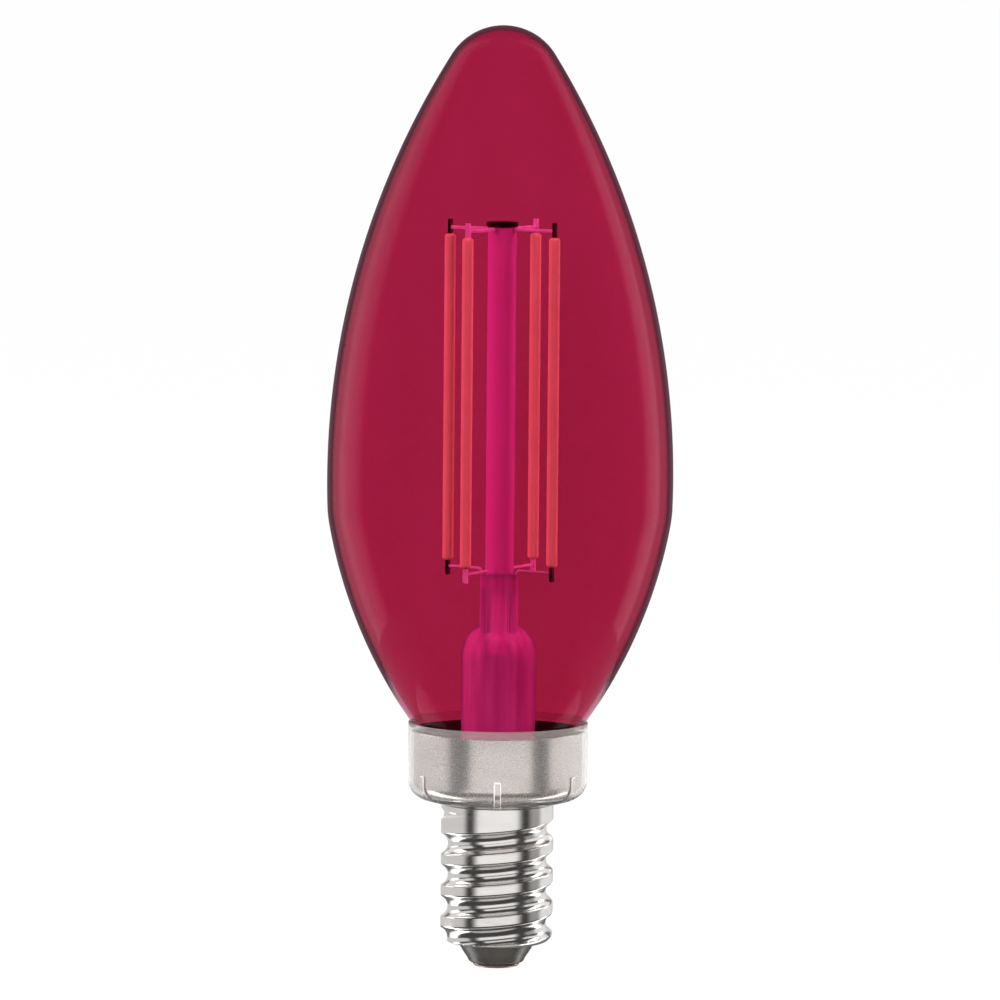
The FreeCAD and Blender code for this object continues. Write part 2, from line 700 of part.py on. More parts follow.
def make_leads():
    """Two lead-in wires, each from the driver board up through the press to a strip that joins the tails of
    two bottom arms. A weld bead marks where the outer wire meets the sealed one."""
    for name, first_tail, side in (("front", 3, "-1"), ("rear", 1, "1")):
        middle = f"((first_filament_angle + ({first_tail} - 0.5) * 360 / {len(FILAMENTS)}) * 1deg)"
        half_gap = f"180deg / {len(FILAMENTS)}"
        inward = f"(tail_circle * cos({half_gap}))"
        chord = f"(2 * tail_circle * sin({half_gap}))"
        mid_x = f"({inward} * cos({middle}))"
        mid_y = f"({inward} * sin({middle}))"
        yaw = f"first_filament_angle + ({first_tail} - 0.5) * 360 / {len(FILAMENTS)} + 90"
        box(f"{name}_link", chord, "link_width", "link_thickness", mid_x, mid_y,
            f"{LINK_TOP} - link_thickness", yaw)
        pad_x = f"({side} * -pad_spacing / 2)"
        pad_y = f"({side} * (board_thickness / 2 + lead_radius + solder_gap))"
        top_x = f"({mid_x} - lead_offset * sin({middle}))"
        top_y = f"({mid_y} + lead_offset * cos({middle}))"
        span_x = f"({top_x} - {pad_x})"
        span_y = f"({top_y} - {pad_y})"
        reach = f"sqrt({span_x}^2 + {span_y}^2)"
        wire = bent_wire(f"{name}_lead_wire", "lead_radius", [
            ("0", "board_top - pad_length"),
            ("0", "board_top + solder_gap"),
            (reach, "board_top + jog_height"),
            (reach, f"{LINK_TOP} - link_thickness"),
        ], along_x=pad_x, along_y=pad_y, yaw=f"atan2({span_y}; {span_x})")
        bead = doc.addObject("Part::Sphere", f"{name}_bead")
        bind(bead, Radius="weld_radius")
        place(bead, top_x, top_y, "weld_height")
        boolean("Fuse", f"{name}_lead", wire, bead)


def seal_press(glass, rod):
    """Open the stem's glass for all that is sealed into it."""
    names = ["front_lead", "front_link", "rear_lead", "rear_link"]
    names += [f"bottom_arm_{number}" for number in FILAMENTS]
    sealed = [rod] + [doc.getObject(name) for name in names]
    boolean("Cut", "glass_stem", glass, gathered("sealed_wires", sealed))


def make_driver():
    """The driver board stands in the shell and the liner's spigot. The flat packages are on its back, the
    capacitor and the fusible resistor on its front."""
    face = "board_thickness / 2 + solder_gap"
    package = f"({face} + package_thickness / 2)"
    box("driver_board", "board_width", "board_thickness", "board_top - board_bottom", bottom="board_bottom")
    rectifier_bottom = "board_bottom + pad_length + part_spacing"
    box("bridge_rectifier", "rectifier_width", "package_thickness", "rectifier_length",
        middle_y=package, bottom=rectifier_bottom)
    box("driver_chip", "chip_width", "package_thickness", "chip_length",
        middle_y=package, bottom=f"{rectifier_bottom} + rectifier_length + part_spacing")
    resistor_height = "board_bottom + part_spacing + resistor_radius"
    cylinder("fusible_resistor", "resistor_radius", "resistor_length", along_x="-resistor_length / 2",
             along_y=f"-({face} + resistor_radius)", along_z=resistor_height, pitch=LYING)
    cylinder("filter_capacitor", "capacitor_radius", "capacitor_length",
             along_y=f"-({face} + capacitor_radius)",
             along_z=f"{resistor_height} + resistor_radius + part_spacing")
    cylinder("shell_lead", "lead_radius", "crest_radius - shell_wall - solder_gap - board_width / 2",
             along_x="board_width / 2", along_z=SHELL_LEAD_HEIGHT, pitch=LYING)
    rivet_top = "shell_bottom + shell_wall + insulator_flange_height"
    contact_reach = f"{face} + lead_radius"
    bent_wire("contact_lead", "lead_radius", [
        ("0", rivet_top),
        ("0", f"{rivet_top} + part_spacing"),
        (contact_reach, "board_bottom - solder_gap"),
        (contact_reach, "board_bottom + pad_length"),
    ], yaw="90")


PARTS = [
    "glass_envelope", "glass_stem", "exhaust_tube", "support_rod", "rod_button",
    "collar_skin", "collar_liner", "neck_cement", "screw_shell", "base_insulator", "centre_contact",
    "front_lead", "rear_lead", "front_link", "rear_link",
    "driver_board", "bridge_rectifier", "driver_chip", "fusible_resistor", "filter_capacitor",
    "shell_lead", "contact_lead",
]
for piece in ("filament", "top_pin", "bottom_pin", "top_arm", "bottom_arm"):
    PARTS += [f"{piece}_{number}" for number in FILAMENTS]


def write_parts():
    """Check every object, then write each piece to its own file."""
    for thing in doc.Objects:
        if "Invalid" in thing.State or "Error" in thing.State:
            raise RuntimeError(f"{thing.Name} did not compute: {thing.State}")
    shapes = {name: doc.getObject(name).Shape for name in PARTS}
    for name, shape in shapes.items():
        if shape.isNull() or not shape.isValid() or len(shape.Solids) != 1:
            raise RuntimeError(f"{name} is not one valid solid")
    os.makedirs("parts", exist_ok=True)
    for name, shape in shapes.items():
        shape.exportStep(f"parts/{name}.step")


make_envelope()
make_collar()
make_base()
stem_glass, support_rod = make_stem()
make_filaments()
make_leads()
seal_press(stem_glass, support_rod)
make_driver()
write_parts()
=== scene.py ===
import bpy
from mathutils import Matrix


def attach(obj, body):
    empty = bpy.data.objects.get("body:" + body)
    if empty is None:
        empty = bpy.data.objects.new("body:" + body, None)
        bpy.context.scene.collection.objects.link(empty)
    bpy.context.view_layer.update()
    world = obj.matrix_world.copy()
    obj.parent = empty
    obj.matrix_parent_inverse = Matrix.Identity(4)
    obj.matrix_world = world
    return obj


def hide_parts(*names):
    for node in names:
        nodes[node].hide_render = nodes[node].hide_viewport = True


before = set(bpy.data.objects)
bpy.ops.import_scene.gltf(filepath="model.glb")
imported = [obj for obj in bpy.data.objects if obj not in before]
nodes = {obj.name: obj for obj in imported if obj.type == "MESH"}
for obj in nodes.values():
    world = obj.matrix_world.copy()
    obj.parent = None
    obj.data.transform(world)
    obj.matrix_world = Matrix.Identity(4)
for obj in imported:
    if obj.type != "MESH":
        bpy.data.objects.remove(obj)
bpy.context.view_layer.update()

import math

import bmesh
import bpy
from mathutils import Quaternion, Vector

# The red glass: one thin blown envelope, coloured through, drawn in to a narrow neck
# that the stem is sealed into and the collar grips. Here it is turned up from the neck
# to the nose and given its wall.

MM = 0.001
glass_wall = 0.5
neck_foot = 19.2
neck_radius = 6.4
bulb_top = 97.4


def arc(centre, radius, first, last, steps):
    """Points along an arc as (radius, height) in millimetres, the angles in degrees above level."""
    points = []
    for step in range(steps + 1):
        angle = math.radians(first + (last - first) * step / steps)
        points.append((centre[0] + radius * math.cos(angle), centre[1] + radius * math.sin(angle)))
    return points


def deselect():
    """Leave edit mode and select nothing."""
    if bpy.context.object and bpy.context.object.mode != "OBJECT":
        bpy.ops.object.mode_set(mode="OBJECT")
    bpy.ops.object.select_all(action="DESELECT")


def turn(name, profile, segments=96, middle=(0, 0)):
    """Turn a piece up from its profile, ring by ring. A radius of 0 closes it in a pole, and a first pole
    starts as a tiny ring, because a ring can't grow from nothing."""
    deselect()
    (radius, height), rest = profile[0], profile[1:]
    spot = Vector((middle[0] * MM, middle[1] * MM, 0))
    tiny = 0.001
    start = max(radius, tiny)
    foot = spot + Vector((0, 0, height * MM))
    bpy.ops.mesh.primitive_circle_add(vertices=segments, radius=start * MM, location=foot)
    piece = bpy.context.object
    piece.name = name
    bpy.ops.object.transform_apply(location=True)
    bpy.ops.object.mode_set(mode="EDIT")
    bpy.ops.mesh.select_all(action="SELECT")
    if radius == 0:
        bpy.ops.mesh.extrude_region_move()
        bpy.ops.mesh.merge(type="CENTER")
        select_only(piece, lambda vertex: (vertex.co.xy - spot.xy).length > start * MM / 2)
    for next_radius, next_height in rest:
        rise = (0, 0, (next_height - height) * MM)
        bpy.ops.mesh.extrude_region_move(TRANSFORM_OT_translate={"value": rise})
        if next_radius == 0:
            bpy.ops.mesh.merge(type="CENTER")
            break
        grow = next_radius / start
        if abs(grow - 1) > 1e-9:
            pivot = spot + Vector((0, 0, next_height * MM))
            bpy.ops.transform.resize(value=(grow, grow, 1), center_override=pivot)
        start, height = next_radius, next_height
    return close_up(piece)


def select_only(piece, wanted):
    """In edit mode, leave only the wanted points selected."""
    bpy.ops.mesh.select_all(action="DESELECT")
    bpy.ops.mesh.select_mode(type="VERT")
    mesh = bmesh.from_edit_mesh(piece.data)
    for vertex in mesh.verts:
        vertex.select = wanted(vertex)
    mesh.select_flush_mode()
    bmesh.update_edit_mesh(piece.data)


def close_up(piece, smooth=35):
    """Merge what touches, point the faces outwards and smooth all but the sharp edges."""
    bpy.ops.object.mode_set(mode="EDIT")
    bpy.ops.mesh.select_all(action="SELECT")
    bpy.ops.mesh.remove_doubles(threshold=0.5e-6)
    bpy.ops.mesh.normals_make_consistent(inside=False)
    bpy.ops.object.mode_set(mode="OBJECT")
    bpy.ops.object.shade_smooth_by_angle(angle=math.radians(smooth))
    return piece


def give_wall(piece, thickness):
    """Give a thin shell its wall, inwards from the modelled face."""
    sheet = piece.modifiers.new("wall", "SOLIDIFY")
    sheet.thickness = thickness * MM
    sheet.offset = -1
    sheet.use_even_offset = True
    bpy.ops.object.modifier_apply(modifier="wall")
    bpy.ops.object.shade_smooth_by_angle(angle=math.radians(35))


def finish_piece(piece, material, slot, *replaced):
    """Give a piece its material and its place in the model."""
    piece.data.materials.clear()
    piece.data.materials.append(material)
    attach(piece, "root")
    if replaced:
        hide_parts(*replaced)


def surface_group():
    """The uneven finish that most of these surfaces share: two colours that drift into each other, a
    roughness that wanders between two values, and a height for the bump."""
    group = bpy.data.node_groups.new("uneven_finish", "ShaderNodeTree")
    sockets = group.interface
    for label, kind in (("Colour", "NodeSocketColor"), ("Second colour", "NodeSocketColor"),
                        ("Smoothest", "NodeSocketFloat"), ("Roughest", "NodeSocketFloat"),
                        ("Drift size", "NodeSocketFloat"), ("Grain size", "NodeSocketFloat"),
                        ("Stretch", "NodeSocketVector")):
        sockets.new_socket(label, in_out="INPUT", socket_type=kind)
    for label, kind in (("Colour", "NodeSocketColor"), ("Roughness", "NodeSocketFloat"),
                        ("Height", "NodeSocketFloat")):
        sockets.new_socket(label, in_out="OUTPUT", socket_type=kind)
    add, link = group.nodes.new, group.links.new
    given, out = add("NodeGroupInput"), add("NodeGroupOutput")
    place = add("ShaderNodeTexCoord")
    stretch = add("ShaderNodeVectorMath")
    stretch.operation = "MULTIPLY"
    link(place.outputs["Object"], stretch.inputs[0])
    link(given.outputs["Stretch"], stretch.inputs[1])
    drift, grain = add("ShaderNodeTexNoise"), add("ShaderNodeTexNoise")
    drift.inputs["Detail"].default_value = 3
    grain.inputs["Detail"].default_value = 5
    for noise, size in ((drift, "Drift size"), (grain, "Grain size")):
        link(stretch.outputs["Vector"], noise.inputs["Vector"])
        link(given.outputs[size], noise.inputs["Scale"])
    blend = add("ShaderNodeMix")
    blend.data_type = "RGBA"
    # Noise stays near its middle, so its middle part is spread over the whole range.
    spread = add("ShaderNodeMapRange")
    spread.inputs["From Min"].default_value = 0.35
    spread.inputs["From Max"].default_value = 0.65
    link(drift.outputs["Fac"], spread.inputs["Value"])
    link(spread.outputs["Result"], blend.inputs["Factor"])
    link(given.outputs["Colour"], blend.inputs["A"])
    link(given.outputs["Second colour"], blend.inputs["B"])
    rough = add("ShaderNodeMapRange")
    rough.inputs["From Min"].default_value = 0.3
    rough.inputs["From Max"].default_value = 0.7
    link(grain.outputs["Fac"], rough.inputs["Value"])
    link(given.outputs["Smoothest"], rough.inputs["To Min"])
    link(given.outputs["Roughest"], rough.inputs["To Max"])
    link(blend.outputs["Result"], out.inputs["Colour"])
    link(rough.outputs["Result"], out.inputs["Roughness"])
    link(grain.outputs["Fac"], out.inputs["Height"])
    return group


uneven = surface_group()


def finish(name, colour, second, smoothest, roughest, drift, grain, stretch=(1, 1, 1), bump=0.0, depth=0.02,
           metal=0.0, clear=0.0, ior=1.5, sheen=(1, 1, 1)):
    """A material with the uneven finish. Drift, grain and the bump's depth are in millimetres."""
    material = bpy.data.materials.new(name)
    material.use_nodes = True
    add, link = material.node_tree.nodes.new, material.node_tree.links.new
    shader = material.node_tree.nodes["Principled BSDF"]
    shader.inputs["Metallic"].default_value = metal
    shader.inputs["Transmission Weight"].default_value = clear
    shader.inputs["IOR"].default_value = ior
    shader.inputs["Specular Tint"].default_value = (*sheen, 1)
    group = add("ShaderNodeGroup")
    group.node_tree = uneven
    group.inputs["Colour"].default_value = (*colour, 1)
    group.inputs["Second colour"].default_value = (*second, 1)
    group.inputs["Smoothest"].default_value = smoothest
    group.inputs["Roughest"].default_value = roughest
    group.inputs["Drift size"].default_value = 1 / (drift * MM)
    group.inputs["Grain size"].default_value = 1 / (grain * MM)
    group.inputs["Stretch"].default_value = stretch
    link(group.outputs["Colour"], shader.inputs["Base Color"])
    link(group.outputs["Roughness"], shader.inputs["Roughness"])
    if bump:
        relief = add("ShaderNodeBump")
        relief.inputs["Strength"].default_value = bump
        relief.inputs["Distance"].default_value = depth * MM
        link(group.outputs["Height"], relief.inputs["Height"])
        link(relief.outputs["Normal"], shader.inputs["Normal"])
    return material


neck_line = [(neck_radius, neck_foot), (neck_radius, 20.0)]
neck_blend = arc((9.4, 20.879), 3.0, 180, 180 - 36.34, 6)
taper = arc((-32.882, 55.054), 51.31, -36.34, -10.446, 40)
shoulder = arc((2.827, 48.471), 15.0, -10.446, -1.798, 8)
side = arc((-65.008, 50.6), 82.868, -1.798, 31.954, 64)
nose = arc((0, 91.15), 6.25, 31.954, 90, 20)
bulb_profile = neck_line + neck_blend + taper + shoulder[1:] + side[1:] + nose[1:-1] + [(0, bulb_top)]
bulb = turn("red_bulb", bulb_profile, segments=144)
give_wall(bulb, glass_wall)
# The lamps shine through the glass, so it throws no shadow on what it holds.
bulb.visible_shadow = False
red_glass = finish("red glass", (0.60, 0.113, 0.232), (0.565, 0.10, 0.205), 0.0, 0.015, 14, 40,
                   stretch=(1, 1, 0.25), bump=0.12, depth=0.25, clear=1.0, ior=1.08, sheen=(0.95, 0.3, 0.7))
finish_piece(bulb, red_glass, "red_glass", "glass_envelope")

# The glass stem that stands inside: a flared tube sealed to the neck, pressed flat round
# the wires at its top, with the exhaust tube inside it and a solid glass rod on it. The
# stem's own solid has the right shape, so a merged and smoothed copy of it is used.


def smooth_copy(name, node, angle=30):
    """A copy of a solid's mesh with its faces joined and shaded smooth."""
    deselect()
    piece = bpy.data.objects.new(name, nodes[node].data.copy())
    bpy.context.collection.objects.link(piece)
    bpy.context.view_layer.objects.active = piece
    piece.select_set(True)
    return close_up(piece, angle)


clear_glass = finish("stem glass", (0.95, 0.21, 0.67), (0.70, 0.09, 0.46), 0.02, 0.08, 1.1, 8,
                     stretch=(1, 1, 0.09), bump=0.05, depth=0.1, clear=0.6, ior=1.3)
stem = smooth_copy("pressed_stem", "glass_stem")
finish_piece(stem, clear_glass, "stem_glass", "glass_stem")

tube_profile = [(0.6, 32.35), (1.0, 32.35)] + [(1.0, z) for z in (28.0, 24.0, 21.2)] + [
    (0.94, 20.6), (0.7, 20.2), (0.35, 19.9), (0.12, 19.82), (0.12, 20.3), (0.4, 20.7), (0.6, 21.2),
    (0.6, 26.0), (0.6, 32.35)]
tube = turn("exhaust_tube_tipped", tube_profile, segments=48, middle=(-0.4, 0))
finish_piece(tube, clear_glass, "stem_glass", "exhaust_tube")

rod_radius, rod_foot, rod_top = 1.5, 40.5, 76.7
first_ring, last_ring, rings = 41, 76.4, 20
rod_profile = [(0, rod_foot), (1.35, rod_foot), (1.46, 40.54), (rod_radius, 40.65)]
rod_profile += [(rod_radius, first_ring + (last_ring - first_ring) * step / rings)
                for step in range(rings + 1)]
rod_profile += [(rod_radius, 76.55), (1.46, 76.66), (1.35, rod_top), (0, rod_top)]
rod = turn("support_rod_glass", rod_profile, segments=64)
rod_glass = finish("rod glass", (0.95, 0.18, 0.68), (0.90, 0.14, 0.60), 0.02, 0.1, 6, 10,
                   stretch=(1, 1, 0.3), bump=0.08, depth=0.1, clear=0.5, ior=1.3)
finish_piece(rod, rod_glass, "stem_glass", "support_rod")

# The dark metal button on the rod's top, and the bare wires: the arms at both ends, the
# flat end pins, the lead-ins with their welds, and the strips sealed in the press. The
# arms are a pale pink wire, partly their own colour and partly a painted highlight of
# lit wire. The end pins of the rearmost and the frontmost light strip get the same pale
# wire as a painted highlight, and the other pins stay dark.

dark_metal = finish("oxidised wire metal", (0.10, 0.085, 0.08), (0.20, 0.17, 0.155), 0.25, 0.5, 1.5, 0.2,
                    bump=0.25, depth=0.02, metal=1.0)
button_profile = [(0, 76.7), (1.58, 76.7), (1.65, 76.77), (1.65, 77.12), (1.58, 77.2), (1.1, 77.2),
                  (1.05, 77.17), (0.5, 77.17), (0.45, 77.2), (0, 77.2)]
button = turn("rod_button_disc", button_profile, segments=64)
finish_piece(button, dark_metal, "dark_metal", "rod_button")

arm_metal = finish("pale wire painted highlight", (0.85, 0.30, 0.66), (0.70, 0.22, 0.52), 0.3, 0.5, 1.0, 0.15,
                   bump=0.2, depth=0.015, metal=0.15)
for end in ("top", "bottom"):
    for number in range(1, 5):
        arm = smooth_copy(f"{end}_arm_wire_{number}", f"{end}_arm_{number}")
        finish_piece(arm, arm_metal, "arm_metal", f"{end}_arm_{number}")
        # Pins 1 and 3 take the pale wire as a painted highlight, and the others the dark metal.
        nodes[f"{end}_pin_{number}"].data.materials[0] = arm_metal if number in (1, 3) else dark_metal
for name in ("front", "rear"):
    lead = smooth_copy(f"{name}_lead_wire", f"{name}_lead")
    finish_piece(lead, dark_metal, "dark_metal", f"{name}_lead")
    nodes[f"{name}_link"].data.materials[0] = dark_metal

# The four light strips: a row of small chips on a carrier, cast all round in silicone
# with yellow phosphor, so each looks like a matt rod with rounded ends.

phosphor = finish("phosphor silicone", (0.70, 0.33, 0.24), (0.74, 0.36, 0.27), 0.45, 0.65, 2.0, 0.35,
                  bump=0.3, depth=0.03)
strip_foot, strip_top, strip_radius = 41.9, 75.8, 0.575
end_round, bead_dip, beads = 0.35, 0.012, 56
strip_circle, first_strip_compass = 6.4, 57
low, high = strip_foot + end_round, strip_top - end_round
flat_end = strip_radius - end_round
strip_profile = [(0, strip_foot)] + arc((flat_end, low), end_round, -90, 0, 6)
strip_profile += [(strip_radius - bead_dip * (step % 2), low + (high - low) * step / beads)
                  for step in range(1, beads)]
strip_profile += arc((flat_end, high), end_round, 0, 90, 6) + [(0, strip_top)]
for number in range(1, 5):
    angle = math.radians(first_strip_compass + 90 * (number - 1))
    spot = (strip_circle * math.cos(angle), strip_circle * math.sin(angle))
    strip = turn(f"light_strip_{number}", strip_profile, segments=32, middle=spot)
    bpy.ops.object.shade_smooth_by_angle(angle=math.radians(80))
    finish_piece(strip, phosphor, "phosphor", f"filament_{number}")

# The collar: a clear moulded skin, slightly milky at its lip, and inside it a satin silver
# liner that holds the glass with a ring of dark cement, darkened further as painted shade
# in the neck. Six small ribs on the liner key into the skin.

collar_foot = 17.0
seat_radius = 5.83
spigot_radius = 4.82
skin_radius, skin_inside, lip_inside = 9.29, 8.75, 8.77
skin_thickness = 0.54
floor_rise = 0.93
floor_slope = floor_rise / (skin_radius - seat_radius)


def floor_height(radius, lift):
    """The height of the collar's sloping floor, raised by a lift, at a radius."""
    return collar_foot + lift + (radius - seat_radius) * floor_slope


def corner(radius, lift, round_radius, steps=10):
    """The rounded lower corner of the collar, between its sloping floor and its upright side."""
    slope = math.atan(floor_slope)
    centre_radius = radius - round_radius
    centre_height = floor_height(centre_radius, lift) + round_radius / math.cos(slope)
    return arc((centre_radius, centre_height), round_radius, -90 + math.degrees(slope), 0, steps)


lip_foot, lip_top, lip_round = 24.7, 25.5, 0.135
lip_centre = (skin_radius - lip_round, lip_top - lip_round)
inside_foot = collar_foot + skin_thickness
skin_profile = [(spigot_radius, collar_foot), (seat_radius, collar_foot)] + corner(skin_radius, 0, 2.0)
skin_profile += [(skin_radius, 22.0), (skin_radius, lip_foot), (skin_radius, lip_centre[1])]
skin_profile += arc(lip_centre, lip_round, 15, 90, 5) + [(9.09, lip_top), (lip_inside, 25.06)]
skin_profile += [(skin_inside, 24.9), (skin_inside, 22.0)] + corner(skin_inside, skin_thickness, 1.46)[::-1]
skin_profile += [(seat_radius, inside_foot), (spigot_radius, inside_foot)]
skin = turn("clear_collar_skin", skin_profile + skin_profile[:1], segments=144)
clear_plastic = finish("clear collar plastic", (0.88, 0.855, 0.845), (0.85, 0.825, 0.81), 0.03, 0.08, 6, 3,
                       bump=0.04, depth=0.05, clear=0.962, ior=1.12)
finish_piece(skin, clear_plastic, "clear_plastic", "collar_skin")
skin.visible_shadow = False
milky_lip = finish("milky collar lip", (0.80, 0.74, 0.72), (0.76, 0.70, 0.68), 0.1, 0.2, 2, 0.5,
                   bump=0.04, depth=0.03, clear=0.93, ior=1.15)
skin.data.materials.append(milky_lip)
for face in skin.data.polygons:
    face.material_index = 1 if face.center.z > lip_foot * MM else 0

liner_radius, liner_inside, spigot_inside = 8.745, 8.5, 4.22
spigot_foot, liner_floor = 14.2, 17.8
liner_profile = [(spigot_inside, spigot_foot), (spigot_radius, spigot_foot)]
liner_profile += [(spigot_radius, inside_foot), (seat_radius, inside_foot)]
liner_profile += corner(liner_radius, 0.55, 1.455)
liner_profile += [(liner_radius, 22.0), (liner_radius, 24.58), (8.68, 24.65), (8.56, 24.65)]
liner_profile += [(liner_inside, 24.58), (liner_inside, 22.0)] + corner(liner_inside, 0.8, 1.2)[::-1]
liner_profile += [(seat_radius, liner_floor), (spigot_inside, liner_floor), (spigot_inside, spigot_foot)]
liner = turn("silver_collar_liner", liner_profile, segments=144)
satin_silver = finish("satin silver", (0.84, 0.80, 0.78), (0.79, 0.75, 0.73), 0.2, 0.3, 5, 0.25,
                      stretch=(1, 1, 3), bump=0.03, depth=0.01, metal=1.0)
finish_piece(liner, satin_silver, "satin_silver", "collar_liner")
# Painted shade: the liner's inside is made near black where the hollow of the neck lies in shade.
painted_shade_inside = finish("liner's painted shade inside", (0.035, 0.028, 0.025), (0.05, 0.04, 0.036), 0.6, 0.85, 2, 0.3,
                     bump=0.3, depth=0.03)
liner.data.materials.append(painted_shade_inside)
# The faces that look inwards or up, above the liner's floor, get a near-black material: painted shade in the
# collar's hollow.
for face in liner.data.polygons:
    outward = face.normal.dot(Vector((face.center.x, face.center.y, 0)).normalized())
    within = face.center.z > (liner_floor - 0.1) * MM and face.center.xy.length < (liner_inside + 0.1) * MM
    face.material_index = 1 if within and (outward < -0.1 or face.normal.z > 0.5) else 0

floor_tilt = math.atan(floor_slope)
rib_height, rib_width, rib_bevel = 0.26, 0.75, 0.1
rib_start, rib_top = 6.1, 20.3
rib_corner_radius, rib_corner_round, rib_lift = 7.54, 1.46, 0.29
rib_corner_height = floor_height(rib_corner_radius, rib_lift) + rib_corner_round / math.cos(floor_tilt)
rib_corner = Vector((rib_corner_radius, 0, rib_corner_height)) * MM


def rib(name, compass):
    """One rib: its oblong end is drawn out along the floor, swung round the corner and drawn up the side.
    Its edges are taken off and given a paler material, a painted highlight. The compass is in degrees, from
    the bulb's own x axis."""
    deselect()
    along = Vector((math.cos(floor_tilt), 0, math.sin(floor_tilt)))
    below = Vector((math.sin(floor_tilt), 0, -math.cos(floor_tilt)))
    foot = rib_corner + below * (rib_corner_round - rib_height / 2) * MM
    run = (foot.x - rib_start * MM) / along.x
    swing = math.pi / 2 - floor_tilt
    bpy.ops.mesh.primitive_plane_add(size=1, location=foot - along * run, rotation=(0, swing, 0))
    piece = bpy.context.object
    piece.name = name
    piece.scale = (rib_height * MM, rib_width * MM, 1)
    bpy.ops.object.transform_apply(location=True, rotation=True, scale=True)
    bpy.ops.object.mode_set(mode="EDIT")
    bpy.ops.mesh.select_all(action="SELECT")
    bpy.ops.mesh.extrude_region_move(TRANSFORM_OT_translate={"value": along * run})
    bpy.ops.mesh.spin(steps=8, angle=swing, center=rib_corner, axis=(0, 1, 0))
    rise = rib_top * MM - rib_corner.z
    bpy.ops.mesh.extrude_region_move(TRANSFORM_OT_translate={"value": (0, 0, rise)})
    close_up(piece)
    edges = piece.modifiers.new("edges", "BEVEL")
    edges.width = rib_bevel * MM
    edges.segments = 1
    edges.limit_method = "ANGLE"
    edges.angle_limit = math.radians(60)
    edges.material = 1
    piece.rotation_euler.z = math.radians(compass)
    bpy.ops.object.transform_apply(rotation=True)
    piece.data.materials.append(satin_silver)
    piece.data.materials.append(rib_edge_highlight)
    bpy.ops.object.modifier_apply(modifier="edges")
    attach(piece, "root")


# A paler material for the ribs' bevelled edges: a painted highlight.
rib_edge_highlight = finish("rib edge painted highlight", (0.66, 0.64, 0.63), (0.60, 0.58, 0.57), 0.4, 0.55, 2, 0.3, bump=0.1, depth=0.01)
for number in range(6):
    rib(f"liner_rib_{number + 1}", -90 + 60 * number)

# The cement's dark colour is partly its own and partly painted shade for the hollow of the neck.
cement = finish("neck cement with painted shade", (0.07, 0.055, 0.05), (0.045, 0.036, 0.032), 0.8, 0.95, 1.5, 0.3,
                bump=0.6, depth=0.08)
nodes["neck_cement"].data.materials[0] = cement

# The screw shell: a thin nickel-plated cup whose right-hand thread is rolled into it,
# its top fixed under the collar and its lower lip rolled in over the insulator.

crest, root = 5.83, 5.10
pitch, first_turn, turns = 3.27, 1.3, 4.5
groove_radius = 1.106
groove_centre = root + groove_radius
edge_round = 0.3
shell_wall = 0.25
lip_radius, cup_foot, cup_top = 4.07, 2.5, 16.98
foot_round = 1.2
round_centre = (crest - foot_round, cup_foot + foot_round)
wall_rings = 280
cup = [(lip_radius, cup_foot), (4.35, cup_foot), (round_centre[0], cup_foot)]
cup += arc(round_centre, foot_round, -80, 0, 24)
cup += [(crest, round_centre[1] + (cup_top - round_centre[1]) * step / wall_rings)
        for step in range(1, wall_rings + 1)]
shell = turn("rolled_thread_shell", cup, segments=144)


def groove_depth(away):
    """How deep the groove is at a height away from its middle: a round trough that meets the crest in a
    small fillet."""
    rise = groove_centre - crest + edge_round
    edge = math.sqrt((groove_radius + edge_round) ** 2 - rise**2)
    away = abs(away)
    if away >= edge:
        return 0
    if away > edge * groove_radius / (groove_radius + edge_round):
        return edge_round - math.sqrt(edge_round**2 - (edge - away) ** 2)
    return crest - groove_centre + math.sqrt(groove_radius**2 - away**2)


def roll_thread(piece):
    """Press the thread into the cup. The groove tapers to a point at its upper end, over the last quarter
    of a turn, where it also sinks a little below its helix."""
    taper_start, taper_end, sink, taper_power = turns - 0.11, turns + 0.16, 0.25, 1.5
    for vertex in piece.data.vertices:
        x, y, z = vertex.co / MM
        radius = math.hypot(x, y)
        around = (math.atan2(y, x) / math.tau) % 1
        pressed = radius
        for lap in range(-1, 6):
            place = around + lap
            share = min((taper_end - place) / (taper_end - taper_start), 1)
            if share <= 0:
                continue
            middle = first_turn + pitch * place - sink * (1 - share)
            depth = groove_depth((z - middle) / share) * share**taper_power
            pressed = min(pressed, crest - depth) if depth else pressed
        vertex.co.x *= pressed / radius
        vertex.co.y *= pressed / radius


roll_thread(shell)
give_wall(shell, shell_wall)
nickel = finish("nickel plate", (0.87, 0.845, 0.825), (0.82, 0.79, 0.77), 0.12, 0.2, 4, 0.6,
                stretch=(1, 1, 4), bump=0.05, depth=0.02, metal=1.0)
finish_piece(shell, nickel, "nickel", "screw_shell")

# The foot: a dark glassy insulator that the shell's lip holds, with the flat metal
# contact riveted through its tip.

insulator_profile = [(0.6, 0.36), (2.4, 0.36), (2.62, 0.4), (2.8, 0.5), (2.91, 0.64), (2.99, 0.85),
                     (3.4, 1.45), (3.9, 2.3), (4.0, 2.48), (4.05, 2.6), (4.06, 2.76), (4.44, 2.76),
                     (4.44, 3.9), (0.6, 3.9), (0.6, 0.36)]
insulator = turn("insulator_cone", insulator_profile, segments=96)
dark_insulator = finish("dark insulator", (0.030, 0.027, 0.024), (0.036, 0.033, 0.029), 0.16, 0.24, 2.5, 0.35,
                        bump=0.08, depth=0.02, ior=1.36)
finish_piece(insulator, dark_insulator, "dark_insulator", "base_insulator")

